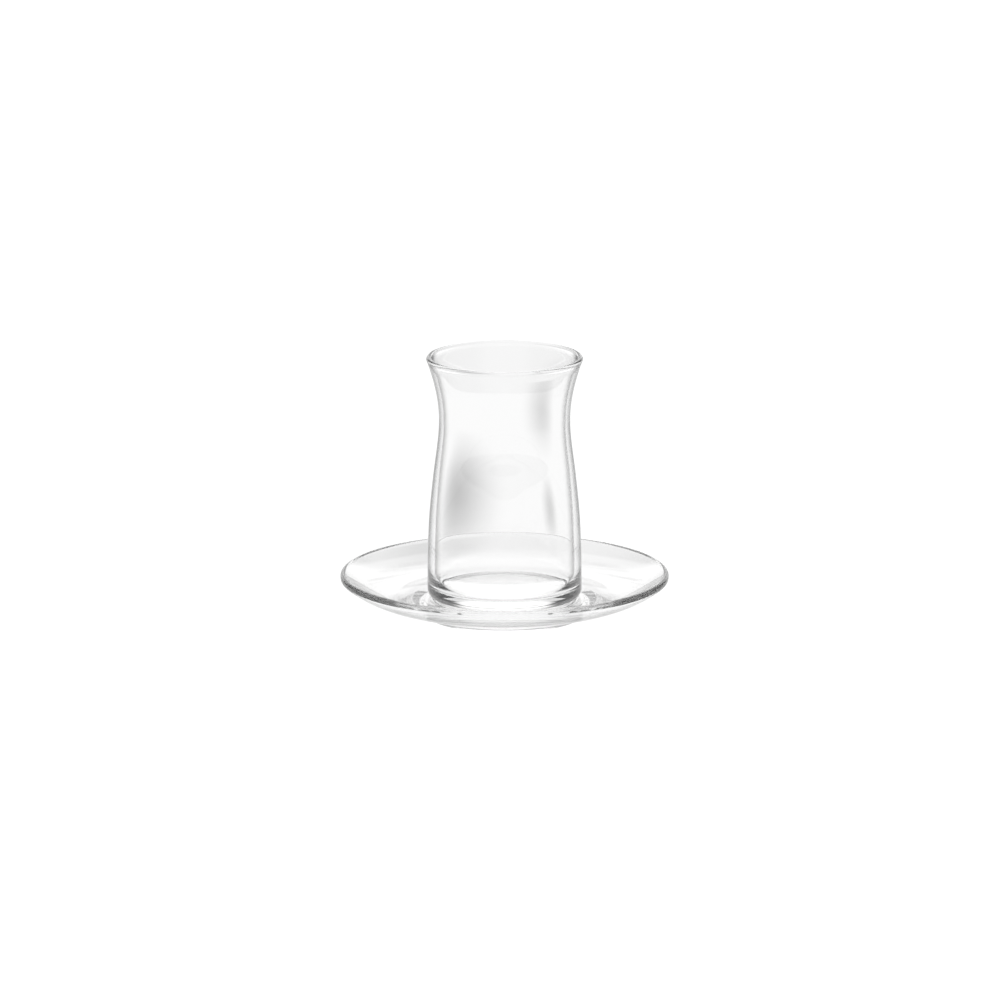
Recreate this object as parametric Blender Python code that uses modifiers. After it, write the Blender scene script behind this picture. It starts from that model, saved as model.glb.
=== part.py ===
"""A waisted tea glass standing on its round glass saucer.

Both pieces are turned about the upright Z axis. The origin is on the table,
under the middle of the saucer. All lengths are in metres, all angles in degrees.
"""

import math

import bpy

# Saucer
SAUCER_RADIUS = 0.0550
LIP_HEIGHT = 0.0143
LIP_RADIUS = 0.00115
LIP_EDGE = 0.0004
LIP_INNER_ANGLE = 140
LIP_OUTER_ANGLE = -50
WELL_RADIUS = 0.0355
WELL_HEIGHT = 0.0062
UNDERSIDE_HEIGHT = 0.0041
FOOT_RADIUS = 0.0271
FOOT_WIDTH = 0.0025
FOOT_CORNER = 0.0006
FOOT_FLARE_RADIUS = 0.0306
FOOT_FLARE_HEIGHT = 0.0028
RECESS_HEIGHT = 0.0032
RECESS_CORNER = 0.0014

# How far, and at what angle, each of the saucer's curves heads off at its two ends
DISH_LEAVES_WELL = (0.0070, 0)
DISH_MEETS_LIP = (0.0058, 218)
UNDERSIDE_LEAVES_LIP = (0.0065, 220)
UNDERSIDE_MEETS_FOOT = (0.0075, 8)
FILLET_LEAVES_UNDERSIDE = (0.0020, 188)
FILLET_REACH_AT_FOOT = 0.0010

# Tea glass
GLASS_GAP = 0.0003
BASE_RADIUS = 0.0240
HEEL_HEIGHT = 0.0026
FLOOR_THICKNESS = 0.0029
FLOOR_CORNER_WIDTH = 0.0026
FLOOR_CORNER_HEIGHT = 0.0066
MOUTH_RADIUS = 0.02615
GLASS_HEIGHT = 0.0818
RIM_RADIUS = 0.00095
RIM_INNER_ANGLE = 195
MOUTH_FLARE = 0.37
MOUTH_WALL = 0.0015

# Stations up the glass's wall: height above its base, outer radius, slope and wall thickness
HEEL_STATION = (0.0035, 0.02586, -0.005, 0.00235)
SHOULDER_STATION = (0.0220, 0.02548, -0.035, 0.0022)
FLANK_STATION = (0.0420, 0.02376, -0.112, 0.0018)
WAIST_STATION = (0.0600, 0.02193, 0.000, 0.0015)

# Fineness of the solids: steps round the axis, and straight pieces in each stretch of outline
GLASS_STEPS = 52
SAUCER_STEPS = 56
FLOOR_CORNER_PIECES = 6
INNER_WALL_POINTS = 9
RIM_PIECES = 7
OUTER_WALL_POINTS = 11
HEEL_PIECES = 4
LIP_TOP_PIECES = 6
LIP_BOTTOM_PIECES = 3
DISH_PIECES = 8
FILLET_PIECES = 4
FOOT_CORNER_PIECES = 3
MERGE_DISTANCE = 0.00002


def arc(centre, radius, start, end, count, height=None):
    """Points on an arc in the profile plane, its angles from outwards to upwards."""
    tall = radius if height is None else height
    points = []
    for step in range(count + 1):
        angle = math.radians(start + (end - start) * step / count)
        points.append((centre[0] + radius * math.cos(angle), centre[1] + tall * math.sin(angle)))
    return points


def offset(point, distance, angle):
    """The point that lies a distance away at an angle."""
    turn = math.radians(angle)
    return (point[0] + distance * math.cos(turn), point[1] + distance * math.sin(turn))


def sweep(start, leaving, end, arriving, count):
    """Points on a smooth curve; leaving and arriving are how far and at what angle its ends head off."""
    corners = (start, offset(start, *leaving), offset(end, *arriving), end)
    points = []
    for step in range(count + 1):
        t = step / count
        weights = ((1 - t) ** 3, 3 * t * (1 - t) ** 2, 3 * t ** 2 * (1 - t), t ** 3)
        points.append(tuple(sum(w * c[axis] for w, c in zip(weights, corners)) for axis in (0, 1)))
    return points


def wall_stations():
    """The stations from the heel to where the rounded rim begins."""
    tilt = math.atan(MOUTH_FLARE)
    mouth_height = GLASS_HEIGHT - RIM_RADIUS - RIM_RADIUS * math.sin(tilt)
    mouth_radius = MOUTH_RADIUS - RIM_RADIUS + RIM_RADIUS * math.cos(tilt)
    mouth = (mouth_height, mouth_radius, MOUTH_FLARE, MOUTH_WALL)
    return (HEEL_STATION, SHOULDER_STATION, FLANK_STATION, WAIST_STATION, mouth)


def wall_at(height):
    """Outer radius and wall thickness of the glass at a height above its base."""
    stations = wall_stations()
    lower, upper = stations[0], stations[1]
    for lower, upper in zip(stations, stations[1:]):
        if height <= upper[0]:
            break
    span = upper[0] - lower[0]
    t = (height - lower[0]) / span
    radius = (
        (2 * t ** 3 - 3 * t ** 2 + 1) * lower[1]
        + (t ** 3 - 2 * t ** 2 + t) * span * lower[2]
        + (3 * t ** 2 - 2 * t ** 3) * upper[1]
        + (t ** 3 - t ** 2) * span * upper[2]
    )
    return radius, lower[3] + (upper[3] - lower[3]) * t


def heights(low, high, count):
    """Evenly spaced heights between two levels, without the levels themselves."""
    return [low + (high - low) * step / (count + 1) for step in range(1, count + 1)]


def glass_profile():
    """Outline of the tea glass, from the middle of its inner floor over the rim to the middle of its base."""
    tilt = math.degrees(math.atan(MOUTH_FLARE))
    rim_centre = (MOUTH_RADIUS - RIM_RADIUS, GLASS_HEIGHT - RIM_RADIUS)
    mouth_height = wall_stations()[-1][0]
    corner_top = FLOOR_THICKNESS + FLOOR_CORNER_HEIGHT
    outer, wall = wall_at(corner_top)
    corner_centre = (outer - wall - FLOOR_CORNER_WIDTH, corner_top)

    points = [(0.0, FLOOR_THICKNESS)]
    points += arc(corner_centre, FLOOR_CORNER_WIDTH, -90, 0, FLOOR_CORNER_PIECES, FLOOR_CORNER_HEIGHT)
    for height in heights(corner_top, rim_centre[1], INNER_WALL_POINTS):
        outer, wall = wall_at(height)
        points.append((outer - wall, height))
    points += arc(rim_centre, RIM_RADIUS, RIM_INNER_ANGLE, -tilt, RIM_PIECES)
    for height in reversed(heights(HEEL_STATION[0], mouth_height, OUTER_WALL_POINTS)):
        points.append((wall_at(height)[0], height))
    heel_width = HEEL_STATION[1] - BASE_RADIUS
    points += arc((BASE_RADIUS, HEEL_HEIGHT), heel_width, 0, -90, HEEL_PIECES, HEEL_HEIGHT)
    points.append((0.0, 0.0))
    base_height = WELL_HEIGHT + GLASS_GAP
    return [(radius, height + base_height) for radius, height in points]


def saucer_profile():
    """Outline of the saucer, from the middle of its well over the lip to the middle of the recess below."""
    lip_centre = (SAUCER_RADIUS - LIP_RADIUS, LIP_HEIGHT - LIP_RADIUS)
    lip_top = arc(lip_centre, LIP_RADIUS, LIP_INNER_ANGLE, 0, LIP_TOP_PIECES)
    lip_bottom = arc(offset(lip_centre, LIP_EDGE, -90), LIP_RADIUS, 0, LIP_OUTER_ANGLE, LIP_BOTTOM_PIECES)

    well_edge = (WELL_RADIUS, WELL_HEIGHT)
    under_edge = (WELL_RADIUS, UNDERSIDE_HEIGHT)
    dish = sweep(well_edge, DISH_LEAVES_WELL, lip_top[0], DISH_MEETS_LIP, DISH_PIECES)
    underside = sweep(lip_bottom[-1], UNDERSIDE_LEAVES_LIP, under_edge, UNDERSIDE_MEETS_FOOT, DISH_PIECES)

    foot_slope = math.degrees(math.atan2(FOOT_FLARE_HEIGHT, FOOT_FLARE_RADIUS - FOOT_RADIUS))
    flare = (FOOT_FLARE_RADIUS, FOOT_FLARE_HEIGHT)
    meets_flare = (FILLET_REACH_AT_FOOT, foot_slope)
    fillet = sweep(under_edge, FILLET_LEAVES_UNDERSIDE, flare, meets_flare, FILLET_PIECES)

    outer_corner = (FOOT_RADIUS - FOOT_CORNER, FOOT_CORNER)
    inner_corner = (FOOT_RADIUS - FOOT_WIDTH + FOOT_CORNER, FOOT_CORNER)
    recess_corner = (FOOT_RADIUS - FOOT_WIDTH - RECESS_CORNER, RECESS_HEIGHT - RECESS_CORNER)
    foot_outside = arc(outer_corner, FOOT_CORNER, foot_slope - 90, -90, FOOT_CORNER_PIECES)
    foot_inside = arc(inner_corner, FOOT_CORNER, 270, 180, FOOT_CORNER_PIECES)
    recess = arc(recess_corner, RECESS_CORNER, 0, 90, FOOT_CORNER_PIECES)

    points = [(0.0, WELL_HEIGHT)] + dish + lip_top[1:] + lip_bottom + underside[1:] + fillet[1:]
    return points + foot_outside + foot_inside + recess + [(0.0, RECESS_HEIGHT)]


def clear_glass(name):
    """Colourless, polished soda glass."""
    material = bpy.data.materials.new(name)
    material.use_nodes = True
    shader = material.node_tree.nodes["Principled BSDF"]
    shader.inputs["Base Color"].default_value = (0.95, 0.97, 0.96, 1.0)
    shader.inputs["Roughness"].default_value = 0.02
    shader.inputs["Metallic"].default_value = 0.0
    shader.inputs["IOR"].default_value = 1.5
    shader.inputs["Transmission Weight"].default_value = 1.0
    return material


def turned(name, profile, steps, collection):
    """A solid of revolution: the profile as a chain of edges, swept round Z by a Screw modifier."""
    mesh = bpy.data.meshes.new(name)
    vertices = [(radius, 0.0, height) for radius, height in profile]
    edges = [(index, index + 1) for index in range(len(vertices) - 1)]
    mesh.from_pydata(vertices, edges, [])
    mesh.materials.append(clear_glass(name + "_glass"))
    piece = bpy.data.objects.new(name, mesh)
    collection.objects.link(piece)
    screw = piece.modifiers.new("Turn", "SCREW")
    screw.axis = "Z"
    screw.angle = math.tau
    screw.steps = steps
    screw.render_steps = steps
    screw.use_merge_vertices = True
    screw.merge_threshold = MERGE_DISTANCE
    screw.use_smooth_shade = True


def main():
    for leftover in list(bpy.data.objects):
        bpy.data.objects.remove(leftover)
    collection = bpy.data.collections.new("tea_glass_and_saucer")
    bpy.context.scene.collection.children.link(collection)
    turned("saucer", saucer_profile(), SAUCER_STEPS, collection)
    turned("tea_glass", glass_profile(), GLASS_STEPS, collection)


main()
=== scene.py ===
"""A clear waisted tea glass on its glass saucer, photographed in a white light tent."""

import math

import bpy
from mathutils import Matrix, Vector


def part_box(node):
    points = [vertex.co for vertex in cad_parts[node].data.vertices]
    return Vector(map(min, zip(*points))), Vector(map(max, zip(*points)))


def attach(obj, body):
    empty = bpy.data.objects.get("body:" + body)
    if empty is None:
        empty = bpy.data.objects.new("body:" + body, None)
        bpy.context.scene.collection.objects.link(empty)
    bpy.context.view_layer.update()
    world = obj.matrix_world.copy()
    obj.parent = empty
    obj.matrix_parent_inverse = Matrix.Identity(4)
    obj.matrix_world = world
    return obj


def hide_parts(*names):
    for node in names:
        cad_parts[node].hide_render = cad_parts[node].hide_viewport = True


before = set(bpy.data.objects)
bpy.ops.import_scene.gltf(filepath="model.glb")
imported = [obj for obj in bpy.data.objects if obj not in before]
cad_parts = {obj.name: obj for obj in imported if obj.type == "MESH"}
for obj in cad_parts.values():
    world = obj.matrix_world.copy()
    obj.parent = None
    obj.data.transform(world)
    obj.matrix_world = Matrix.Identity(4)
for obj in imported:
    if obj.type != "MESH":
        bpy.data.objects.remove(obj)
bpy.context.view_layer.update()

GLASS_LOW, GLASS_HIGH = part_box("tea_glass")
SAUCER_LOW, SAUCER_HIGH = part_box("saucer")

# Saucer, in metres and degrees
SAUCER_RADIUS = SAUCER_HIGH[0]
LIP_HEIGHT = SAUCER_HIGH[2]
LIP_RADIUS = 0.00115
LIP_EDGE = 0.0004
LIP_INNER_ANGLE = 140
LIP_OUTER_ANGLE = -50
WELL_RADIUS = 0.0355
WELL_HEIGHT = 0.0062
UNDERSIDE_HEIGHT = 0.0041
FOOT_RADIUS = 0.0271
FOOT_WIDTH = 0.0025
FOOT_CORNER = 0.0006
FOOT_FLARE_RADIUS = 0.0306
FOOT_FLARE_HEIGHT = 0.0028
RECESS_HEIGHT = 0.0032
RECESS_CORNER = 0.0014

# How far, and at what angle, each of the saucer's curves heads off at its two ends
DISH_LEAVES_WELL = (0.0070, 0)
DISH_MEETS_LIP = (0.0058, 218)
UNDERSIDE_LEAVES_LIP = (0.0065, 220)
UNDERSIDE_MEETS_FOOT = (0.0075, 8)
FILLET_LEAVES_UNDERSIDE = (0.0020, 188)
FILLET_REACH_AT_FOOT = 0.0010

# Tea glass, in metres and degrees
BASE_HEIGHT = GLASS_LOW[2]
GLASS_HEIGHT = GLASS_HIGH[2] - BASE_HEIGHT
MOUTH_RADIUS = GLASS_HIGH[0]
BASE_RADIUS = 0.0240
HEEL_HEIGHT = 0.0026
FLOOR_THICKNESS = 0.0029
FLOOR_CORNER_WIDTH = 0.0026
FLOOR_CORNER_HEIGHT = 0.0066
RIM_RADIUS = 0.00095
RIM_INNER_ANGLE = 195
MOUTH_FLARE = 0.37
MOUTH_WALL = 0.0015

# Stations up the glass's wall: height above its base, outer radius, slope and wall thickness
HEEL_STATION = (0.0035, 0.02586, -0.005, 0.00235)
SHOULDER_STATION = (0.0220, 0.02548, -0.035, 0.0022)
FLANK_STATION = (0.0420, 0.02376, -0.112, 0.0018)
WAIST_STATION = (0.0600, 0.02193, 0.000, 0.0015)

# Fineness of the visible pieces: steps round the axis, and straight pieces in each stretch of outline
STEPS_AROUND = 256
FLOOR_CORNER_PIECES = 20
INNER_WALL_POINTS = 46
RIM_PIECES = 20
OUTER_WALL_POINTS = 54
HEEL_PIECES = 14
LIP_TOP_PIECES = 18
LIP_BOTTOM_PIECES = 8
DISH_PIECES = 32
FILLET_PIECES = 14
FOOT_CORNER_PIECES = 6
RECESS_PIECES = 8
MERGE_DISTANCE = 0.000002

# Glass as a material
GLASS_IOR = 1.5
GLASS_SURFACE = {"Wave size": 0.018, "Wave depth": 0.12, "Mark size": 0.006, "Most roughness": 0.015}
SAUCER_SURFACE = {"Wave size": 0.024, "Wave depth": 0.08, "Mark size": 0.008, "Most roughness": 0.015}
WAVE_RELIEF = 0.0001
WAVE_DETAIL = 1.0
MARK_DETAIL = 4.0
MARK_COARSENESS = 0.6
MARK_STRETCH = (1.0, 1.0, 0.35)
MARK_FROM, MARK_TO = 0.45, 0.75

# Painted shade on the outlines, greying the glass's colour where it is seen edge on: how light they stay,
# where it starts and ends between facing the eye and edge on to it, and the share of it that level faces keep
GLASS_PAINTED_EDGE_SHADE = (0.08, 0.56, 0.84, 0.0)
SAUCER_PAINTED_EDGE_SHADE = (0.10, 0.66, 0.88, 0.8)
UPRIGHT_LEAN, LEVEL_LEAN = 0.4, 0.8

# Camera
IMAGE_SIZE = 1000
SENSOR_WIDTH = 36.0
CAMERA_DISTANCE = 3.0
CAMERA_ELEVATION = 13.3
CAMERA_REACH = 100.0
AIM_HEIGHT = 0.039
PIXELS_PER_METRE = 2991.0
AXIS_COLUMN = 504.55

# Light tent: glow of each side, and the angles in degrees over which one passes into the next
LIGHT_BOUNCES = 32
SEEN_WHITE = 1.1
WALL_GLOW = 1.35
ROOF_GLOW = 0.10
SIDE_SHARE = 0.04
FRONT_SHARE = 0.25
HORIZON_ELEVATIONS = (-2.0, 3.0)
ROOF_ELEVATIONS = (50.0, 75.0)
BACKDROP_AZIMUTHS = (22.0, 33.0)
FRONT_AZIMUTHS = (125.0, 155.0)

# Table, with soft patches of painted shade behind the glass: centre, half size and depth of each
TABLE_RADIUS = 3.0
TABLE_CORNERS = 128
TABLE_DEPTH = 0.0002
TABLE_GLOW = 0.97
PAINTED_SHADE_PATCHES = (
    ((-0.0290, 0.160), (0.032, 0.115), 0.50),
    ((0.0265, 0.300), (0.018, 0.095), 0.32),
    ((0.0250, 0.140), (0.007, 0.060), 0.35),
)


def arc(centre, radius, start, end, count, height=None):
    """Points on an arc in the profile plane, its angles from outwards to upwards."""
    tall = radius if height is None else height
    points = []
    for step in range(count + 1):
        angle = math.radians(start + (end - start) * step / count)
        points.append((centre[0] + radius * math.cos(angle), centre[1] + tall * math.sin(angle)))
    return points


def offset(point, distance, angle):
    """The point that lies a distance away at an angle."""
    turn = math.radians(angle)
    return (point[0] + distance * math.cos(turn), point[1] + distance * math.sin(turn))


def sweep(start, leaving, end, arriving, count):
    """Points on a smooth curve; leaving and arriving are how far and at what angle its ends head off."""
    corners = (start, offset(start, *leaving), offset(end, *arriving), end)
    points = []
    for step in range(count + 1):
        t = step / count
        weights = ((1 - t) ** 3, 3 * t * (1 - t) ** 2, 3 * t ** 2 * (1 - t), t ** 3)
        points.append(tuple(sum(w * c[axis] for w, c in zip(weights, corners)) for axis in (0, 1)))
    return points


def wall_stations():
    """The stations from the heel to where the rounded rim begins."""
    tilt = math.atan(MOUTH_FLARE)
    mouth_height = GLASS_HEIGHT - RIM_RADIUS - RIM_RADIUS * math.sin(tilt)
    mouth_radius = MOUTH_RADIUS - RIM_RADIUS + RIM_RADIUS * math.cos(tilt)
    mouth = (mouth_height, mouth_radius, MOUTH_FLARE, MOUTH_WALL)
    return (HEEL_STATION, SHOULDER_STATION, FLANK_STATION, WAIST_STATION, mouth)


def wall_at(height):
    """Outer radius and wall thickness of the glass at a height above its base."""
    stations = wall_stations()
    lower, upper = stations[0], stations[1]
    for lower, upper in zip(stations, stations[1:]):
        if height <= upper[0]:
            break
    span = upper[0] - lower[0]
    t = (height - lower[0]) / span
    radius = (
        (2 * t ** 3 - 3 * t ** 2 + 1) * lower[1]
        + (t ** 3 - 2 * t ** 2 + t) * span * lower[2]
        + (3 * t ** 2 - 2 * t ** 3) * upper[1]
        + (t ** 3 - t ** 2) * span * upper[2]
    )
    return radius, lower[3] + (upper[3] - lower[3]) * t


def heights(low, high, count):
    """Evenly spaced heights between two levels, without the levels themselves."""
    return [low + (high - low) * step / (count + 1) for step in range(1, count + 1)]


def glass_profile():
    """Outline of the tea glass, from the middle of its inner floor over the rim to the middle of its base."""
    tilt = math.degrees(math.atan(MOUTH_FLARE))
    rim_centre = (MOUTH_RADIUS - RIM_RADIUS, GLASS_HEIGHT - RIM_RADIUS)
    mouth_height = wall_stations()[-1][0]
    corner_top = FLOOR_THICKNESS + FLOOR_CORNER_HEIGHT
    outer, wall = wall_at(corner_top)
    corner_centre = (outer - wall - FLOOR_CORNER_WIDTH, corner_top)

    points = [(0.0, FLOOR_THICKNESS)]
    points += arc(corner_centre, FLOOR_CORNER_WIDTH, -90, 0, FLOOR_CORNER_PIECES, FLOOR_CORNER_HEIGHT)
    for height in heights(corner_top, rim_centre[1], INNER_WALL_POINTS):
        outer, wall = wall_at(height)
        points.append((outer - wall, height))
    points += arc(rim_centre, RIM_RADIUS, RIM_INNER_ANGLE, -tilt, RIM_PIECES)
    for height in reversed(heights(HEEL_STATION[0], mouth_height, OUTER_WALL_POINTS)):
        points.append((wall_at(height)[0], height))
    heel_width = HEEL_STATION[1] - BASE_RADIUS
    points += arc((BASE_RADIUS, HEEL_HEIGHT), heel_width, 0, -90, HEEL_PIECES, HEEL_HEIGHT)
    points.append((0.0, 0.0))
    return [(radius, height + BASE_HEIGHT) for radius, height in points]


def saucer_profile():
    """Outline of the saucer, from the middle of its well over the lip to the middle of the recess below."""
    lip_centre = (SAUCER_RADIUS - LIP_RADIUS, LIP_HEIGHT - LIP_RADIUS)
    lip_top = arc(lip_centre, LIP_RADIUS, LIP_INNER_ANGLE, 0, LIP_TOP_PIECES)
    lip_bottom = arc(offset(lip_centre, LIP_EDGE, -90), LIP_RADIUS, 0, LIP_OUTER_ANGLE, LIP_BOTTOM_PIECES)

    well_edge = (WELL_RADIUS, WELL_HEIGHT)
    under_edge = (WELL_RADIUS, UNDERSIDE_HEIGHT)
    dish = sweep(well_edge, DISH_LEAVES_WELL, lip_top[0], DISH_MEETS_LIP, DISH_PIECES)
    underside = sweep(lip_bottom[-1], UNDERSIDE_LEAVES_LIP, under_edge, UNDERSIDE_MEETS_FOOT, DISH_PIECES)

    foot_slope = math.degrees(math.atan2(FOOT_FLARE_HEIGHT, FOOT_FLARE_RADIUS - FOOT_RADIUS))
    flare = (FOOT_FLARE_RADIUS, FOOT_FLARE_HEIGHT)
    meets_flare = (FILLET_REACH_AT_FOOT, foot_slope)
    fillet = sweep(under_edge, FILLET_LEAVES_UNDERSIDE, flare, meets_flare, FILLET_PIECES)

    outer_corner = (FOOT_RADIUS - FOOT_CORNER, FOOT_CORNER)
    inner_corner = (FOOT_RADIUS - FOOT_WIDTH + FOOT_CORNER, FOOT_CORNER)
    recess_corner = (FOOT_RADIUS - FOOT_WIDTH - RECESS_CORNER, RECESS_HEIGHT - RECESS_CORNER)
    foot_outside = arc(outer_corner, FOOT_CORNER, foot_slope - 90, -90, FOOT_CORNER_PIECES)
    foot_inside = arc(inner_corner, FOOT_CORNER, 270, 180, FOOT_CORNER_PIECES)
    recess = arc(recess_corner, RECESS_CORNER, 0, 90, RECESS_PIECES)

    points = [(0.0, WELL_HEIGHT)] + dish + lip_top[1:] + lip_bottom + underside[1:] + fillet[1:]
    return points + foot_outside + foot_inside + recess + [(0.0, RECESS_HEIGHT)]


def calculate(tree, operation, *values):
    """A Math node; a value is a number or another node's output."""
    node = tree.nodes.new("ShaderNodeMath")
    node.operation = operation
    for socket, value in zip(node.inputs, values):
        if isinstance(value, (int, float)):
            socket.default_value = value
        else:
            tree.links.new(value, socket)
    return node.outputs[0]


def calculate_vector(tree, operation, vector, second=(0.0, 0.0, 0.0)):
    """A Vector Math node on another node's output and three numbers."""
    node = tree.nodes.new("ShaderNodeVectorMath")
    node.operation = operation
    node.inputs[1].default_value = second
    tree.links.new(vector, node.inputs[0])
    return node


def ease(tree, value, low, high, at_low, at_high):
    """A smooth step from one result to another as the value goes from low to high."""
    node = tree.nodes.new("ShaderNodeMapRange")
    node.interpolation_type = "SMOOTHSTEP"
    names = ("Value", "From Min", "From Max", "To Min", "To Max")
    for socket_name, setting in zip(names, (value, low, high, at_low, at_high)):
        if isinstance(setting, (int, float)):
            node.inputs[socket_name].default_value = setting
        else:
            tree.links.new(setting, node.inputs[socket_name])
    return node.outputs[0]


def turning_tree():
    """Geometry Nodes that sweep a profile's points round Z and close the seam and both poles."""
    tree = bpy.data.node_groups.new("Turned piece", "GeometryNodeTree")
    face = tree.interface
    face.new_socket("Profile", in_out="INPUT", socket_type="NodeSocketGeometry")
    face.new_socket("Steps around", in_out="INPUT", socket_type="NodeSocketInt")
    face.new_socket("Merge distance", in_out="INPUT", socket_type="NodeSocketFloat")
    face.new_socket("Material", in_out="INPUT", socket_type="NodeSocketMaterial")
    face.new_socket("Piece", in_out="OUTPUT", socket_type="NodeSocketGeometry")
    nodes, links = tree.nodes, tree.links
    given = nodes.new("NodeGroupInput")
    made = nodes.new("NodeGroupOutput")
    steps = given.outputs["Steps around"]

    size = nodes.new("GeometryNodeAttributeDomainSize")
    size.component = "MESH"
    links.new(given.outputs["Profile"], size.inputs[0])
    rows = size.outputs["Point Count"]
    grid = nodes.new("GeometryNodeMeshGrid")
    links.new(calculate(tree, "ADD", steps, 1), grid.inputs["Vertices X"])
    links.new(rows, grid.inputs["Vertices Y"])

    index = nodes.new("GeometryNodeInputIndex").outputs[0]
    middle = calculate(tree, "ADD", index, 0.5)
    column = calculate(tree, "FLOOR", calculate(tree, "DIVIDE", middle, rows))
    row = calculate(tree, "SUBTRACT", index, calculate(tree, "MULTIPLY", column, rows))
    turn = calculate(tree, "MULTIPLY", calculate(tree, "DIVIDE", column, steps), math.tau)

    place = nodes.new("GeometryNodeInputPosition")
    sample = nodes.new("GeometryNodeSampleIndex")
    sample.data_type = "FLOAT_VECTOR"
    links.new(given.outputs["Profile"], sample.inputs["Geometry"])
    links.new(place.outputs[0], sample.inputs["Value"])
    links.new(row, sample.inputs["Index"])
    swing = nodes.new("ShaderNodeVectorRotate")
    swing.rotation_type = "Z_AXIS"
    links.new(sample.outputs[0], swing.inputs["Vector"])
    links.new(turn, swing.inputs["Angle"])
    move = nodes.new("GeometryNodeSetPosition")
    links.new(grid.outputs["Mesh"], move.inputs["Geometry"])
    links.new(swing.outputs[0], move.inputs["Position"])

    merge = nodes.new("GeometryNodeMergeByDistance")
    links.new(move.outputs[0], merge.inputs["Geometry"])
    links.new(given.outputs["Merge distance"], merge.inputs["Distance"])
    flip = nodes.new("GeometryNodeFlipFaces")
    links.new(merge.outputs[0], flip.inputs["Mesh"])
    smooth = nodes.new("GeometryNodeSetShadeSmooth")
    links.new(flip.outputs[0], smooth.inputs["Geometry"])
    realize = nodes.new("GeometryNodeRealizeInstances")
    links.new(smooth.outputs[0], realize.inputs[0])
    paint = nodes.new("GeometryNodeSetMaterial")
    links.new(realize.outputs[0], paint.inputs["Geometry"])
    links.new(given.outputs["Material"], paint.inputs["Material"])
    links.new(paint.outputs[0], made.inputs["Piece"])
    return tree


def turned(name, profile, tree, material):
    """A plain mesh swept from the profile by the turning tree."""
    outline = bpy.data.meshes.new(name + "_outline")
    points = [(radius, 0.0, height) for radius, height in profile]
    outline.from_pydata(points, [(step, step + 1) for step in range(len(points) - 1)], [])
    guide = bpy.data.objects.new(name + "_guide", outline)
    bpy.context.scene.collection.objects.link(guide)
    modifier = guide.modifiers.new("Turn", "NODES")
    modifier.node_group = tree
    values = {"Steps around": STEPS_AROUND, "Merge distance": MERGE_DISTANCE, "Material": material}
    for socket in tree.interface.items_tree:
        if socket.in_out == "INPUT" and socket.name in values:
            modifier[socket.identifier] = values[socket.name]
    bpy.context.view_layer.update()
    evaluated = guide.evaluated_get(bpy.context.evaluated_depsgraph_get())
    mesh = bpy.data.meshes.new_from_object(evaluated)
    guide.modifiers.remove(modifier)
    bpy.data.objects.remove(guide)
    piece = bpy.data.objects.new(name, mesh)
    bpy.context.scene.collection.objects.link(piece)
    return piece


def polished_surface_group():
    """Fire-polished pressed glass: long faint waves left by the mould, and barely visible wiping marks."""
    group = bpy.data.node_groups.new("Polished pressed glass", "ShaderNodeTree")
    face = group.interface
    for socket_name in ("Wave size", "Wave depth", "Mark size", "Most roughness"):
        face.new_socket(socket_name, in_out="INPUT", socket_type="NodeSocketFloat")
    face.new_socket("Roughness", in_out="OUTPUT", socket_type="NodeSocketFloat")
    face.new_socket("Height", in_out="OUTPUT", socket_type="NodeSocketFloat")
    given = group.nodes.new("NodeGroupInput")
    made = group.nodes.new("NodeGroupOutput")
    place = group.nodes.new("ShaderNodeTexCoord").outputs["Object"]

    waves = group.nodes.new("ShaderNodeTexNoise")
    waves.inputs["Detail"].default_value = WAVE_DETAIL
    group.links.new(place, waves.inputs["Vector"])
    group.links.new(calculate(group, "DIVIDE", 1.0, given.outputs["Wave size"]), waves.inputs["Scale"])
    height = calculate(group, "MULTIPLY", waves.outputs[0], given.outputs["Wave depth"])
    group.links.new(height, made.inputs["Height"])

    marks = group.nodes.new("ShaderNodeTexNoise")
    marks.inputs["Detail"].default_value = MARK_DETAIL
    marks.inputs["Roughness"].default_value = MARK_COARSENESS
    stretched = calculate_vector(group, "MULTIPLY", place, MARK_STRETCH)
    group.links.new(stretched.outputs[0], marks.inputs["Vector"])
    group.links.new(calculate(group, "DIVIDE", 1.0, given.outputs["Mark size"]), marks.inputs["Scale"])
    roughness = ease(group, marks.outputs[0], MARK_FROM, MARK_TO, 0.0, given.outputs["Most roughness"])
    group.links.new(roughness, made.inputs["Roughness"])
    return group


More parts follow.
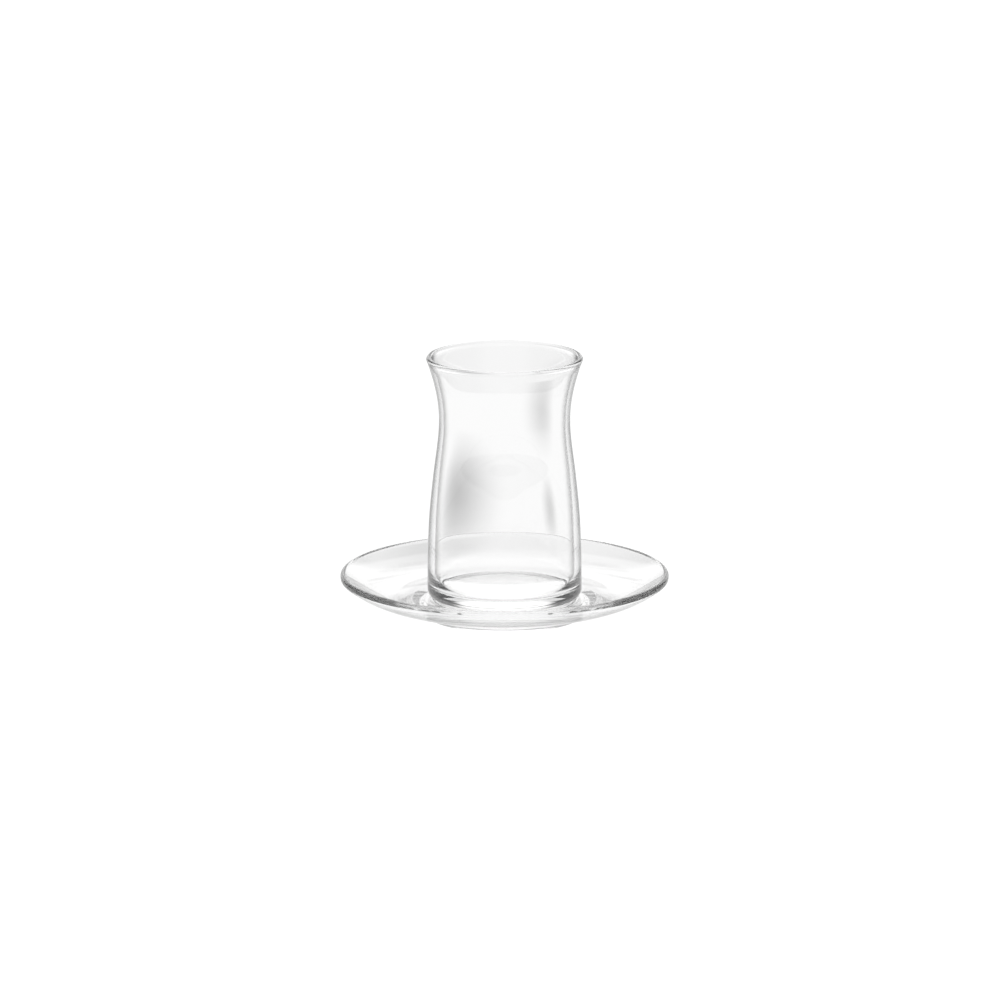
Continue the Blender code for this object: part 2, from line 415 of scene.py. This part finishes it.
def clear_glass(name, group, surface_values, painted_edge_shade):
    """Colourless glass with painted shade: its colour is greyed towards its outlines, where the eye looks
    along the wall, darkening them.
    """
    material = bpy.data.materials.new(name)
    material.use_nodes = True
    tree = material.node_tree
    shader = tree.nodes["Principled BSDF"]
    shader.inputs["IOR"].default_value = GLASS_IOR
    shader.inputs["Metallic"].default_value = 0.0
    shader.inputs["Transmission Weight"].default_value = 1.0

    surface = tree.nodes.new("ShaderNodeGroup")
    surface.node_tree = group
    for socket_name, value in surface_values.items():
        surface.inputs[socket_name].default_value = value
    tree.links.new(surface.outputs["Roughness"], shader.inputs["Roughness"])
    bump = tree.nodes.new("ShaderNodeBump")
    bump.inputs["Strength"].default_value = 1.0
    bump.inputs["Distance"].default_value = WAVE_RELIEF
    tree.links.new(surface.outputs["Height"], bump.inputs["Height"])
    tree.links.new(bump.outputs[0], shader.inputs["Normal"])

    painted_shade_lightness, start, end, level_painted_shade_share = painted_edge_shade
    # Painted shade: the base colour turns grey where the surface is seen edge on, darkening the outlines;
    # level faces keep only the given share of it.
    grazing = tree.nodes.new("ShaderNodeLayerWeight")
    grazing.inputs["Blend"].default_value = 0.5
    normal = tree.nodes.new("ShaderNodeSeparateXYZ")
    tree.links.new(tree.nodes.new("ShaderNodeTexCoord").outputs["Normal"], normal.inputs[0])
    lean = calculate(tree, "ABSOLUTE", normal.outputs["Z"])
    painted_shade_by_lean = ease(tree, lean, UPRIGHT_LEAN, LEVEL_LEAN, 1.0, level_painted_shade_share)
    painted_shade = calculate(tree, "MULTIPLY", ease(tree, grazing.outputs["Facing"], start, end, 0.0, 1.0), painted_shade_by_lean)
    painted_tint = tree.nodes.new("ShaderNodeMix")
    painted_tint.data_type = "RGBA"
    painted_tint.inputs["A"].default_value = (1.0, 1.0, 1.0, 1.0)
    painted_tint.inputs["B"].default_value = (painted_shade_lightness, painted_shade_lightness, painted_shade_lightness, 1.0)
    tree.links.new(painted_shade, painted_tint.inputs["Factor"])
    tree.links.new(painted_tint.outputs["Result"], shader.inputs["Base Color"])
    return material


def light_tent():
    """The tent as the world: a bright backdrop, a dimmer front, and dark sides and roof."""
    world = bpy.data.worlds.new("Light tent")
    world.use_nodes = True
    bpy.context.scene.world = world
    tree = world.node_tree
    tree.nodes.clear()
    result = tree.nodes.new("ShaderNodeOutputWorld")
    background = tree.nodes.new("ShaderNodeBackground")
    background.inputs["Color"].default_value = (1.0, 1.0, 1.0, 1.0)
    tree.links.new(background.outputs[0], result.inputs[0])

    direction = tree.nodes.new("ShaderNodeSeparateXYZ")
    tree.links.new(tree.nodes.new("ShaderNodeTexCoord").outputs["Generated"], direction.inputs[0])
    across, away, up = direction.outputs
    elevation = calculate(tree, "DEGREES", calculate(tree, "ARCSINE", up))
    bearing = calculate(tree, "ARCTAN2", across, away)
    azimuth = calculate(tree, "DEGREES", calculate(tree, "ABSOLUTE", bearing))
    wall = ease(tree, elevation, *HORIZON_ELEVATIONS, TABLE_GLOW, WALL_GLOW)
    behind = ease(tree, azimuth, *BACKDROP_AZIMUTHS, 1.0, SIDE_SHARE)
    front = ease(tree, azimuth, *FRONT_AZIMUTHS, 0.0, FRONT_SHARE)
    wall = calculate(tree, "MULTIPLY", wall, calculate(tree, "ADD", behind, front))
    glow = ease(tree, elevation, *ROOF_ELEVATIONS, wall, ROOF_GLOW)

    seen = tree.nodes.new("ShaderNodeLightPath").outputs["Is Camera Ray"]
    unseen = calculate(tree, "MULTIPLY", glow, calculate(tree, "SUBTRACT", 1.0, seen))
    strength = calculate(tree, "ADD", unseen, calculate(tree, "MULTIPLY", seen, SEEN_WHITE))
    tree.links.new(strength, background.inputs["Strength"])


def painted_shade_patch(tree, place, centre, half_size, depth):
    """How much of the table's glow is left under a soft-edged oval patch of painted shade."""
    shifted = calculate_vector(tree, "SUBTRACT", place, (*centre, 0.0))
    scaled = calculate_vector(tree, "DIVIDE", shifted.outputs[0], (*half_size, 1.0))
    away = calculate_vector(tree, "LENGTH", scaled.outputs[0])
    return ease(tree, away.outputs["Value"], 0.0, 1.0, 1.0 - depth, 1.0)


def white_table():
    """A plain white table that glows, as in a light tent, and looks evenly white to the eye; seen through the
    glass it carries patches of painted shade.
    """
    bpy.ops.mesh.primitive_circle_add(vertices=TABLE_CORNERS, radius=TABLE_RADIUS, fill_type="NGON")
    table = bpy.context.object
    table.name = "white_table"
    table.location = (0.0, 0.0, -TABLE_DEPTH)
    material = bpy.data.materials.new("White table")
    material.use_nodes = True
    tree = material.node_tree
    shader = tree.nodes["Principled BSDF"]
    shader.inputs["Base Color"].default_value = (0.0, 0.0, 0.0, 1.0)
    shader.inputs["Specular IOR Level"].default_value = 0.0
    shader.inputs["Roughness"].default_value = 1.0
    shader.inputs["Emission Color"].default_value = (1.0, 1.0, 1.0, 1.0)
    seen = tree.nodes.new("ShaderNodeLightPath").outputs["Is Camera Ray"]
    place = tree.nodes.new("ShaderNodeTexCoord").outputs["Object"]
    glow = TABLE_GLOW
    # Painted shade: soft dim patches on the table's glow, which camera rays never see, only rays bent or
    # reflected by the glass.
    for patch in PAINTED_SHADE_PATCHES:
        glow = calculate(tree, "MULTIPLY", painted_shade_patch(tree, place, *patch), glow)
    tree.links.new(ease(tree, seen, 0.0, 1.0, glow, SEEN_WHITE), shader.inputs["Emission Strength"])
    table.data.materials.append(material)


def camera():
    """Long lens, looking down a little, so that the object fills the middle of the image."""
    lens = bpy.data.cameras.new("camera")
    eye = bpy.data.objects.new("camera", lens)
    bpy.context.scene.collection.objects.link(eye)
    elevation = math.radians(CAMERA_ELEVATION)
    eye.location = (
        0.0,
        -CAMERA_DISTANCE * math.cos(elevation),
        AIM_HEIGHT + CAMERA_DISTANCE * math.sin(elevation),
    )
    eye.rotation_euler = (math.radians(90 - CAMERA_ELEVATION), 0.0, 0.0)
    lens.sensor_width = SENSOR_WIDTH
    lens.lens = PIXELS_PER_METRE * CAMERA_DISTANCE / IMAGE_SIZE * SENSOR_WIDTH
    lens.shift_x = (IMAGE_SIZE / 2 - AXIS_COLUMN) / IMAGE_SIZE
    lens.clip_end = CAMERA_REACH
    bpy.context.scene.camera = eye


def main():
    scene = bpy.context.scene
    scene.view_settings.view_transform = "Standard"
    scene.cycles.max_bounces = LIGHT_BOUNCES
    scene.cycles.glossy_bounces = LIGHT_BOUNCES
    scene.cycles.transmission_bounces = LIGHT_BOUNCES
    tree = turning_tree()
    surface = polished_surface_group()
    glass = clear_glass("Tea glass", surface, GLASS_SURFACE, GLASS_PAINTED_EDGE_SHADE)
    saucer = clear_glass("Saucer glass", surface, SAUCER_SURFACE, SAUCER_PAINTED_EDGE_SHADE)
    pieces = (
        ("tea_glass", "tea_glass_clear", glass_profile(), glass),
        ("saucer", "saucer_clear", saucer_profile(), saucer),
    )
    for node, slot, profile, material in pieces:
        piece = turned(node + "_turned", profile, tree, material)
        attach(piece, "root")
        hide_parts(node)
    light_tent()
    white_table()
    camera()


main()
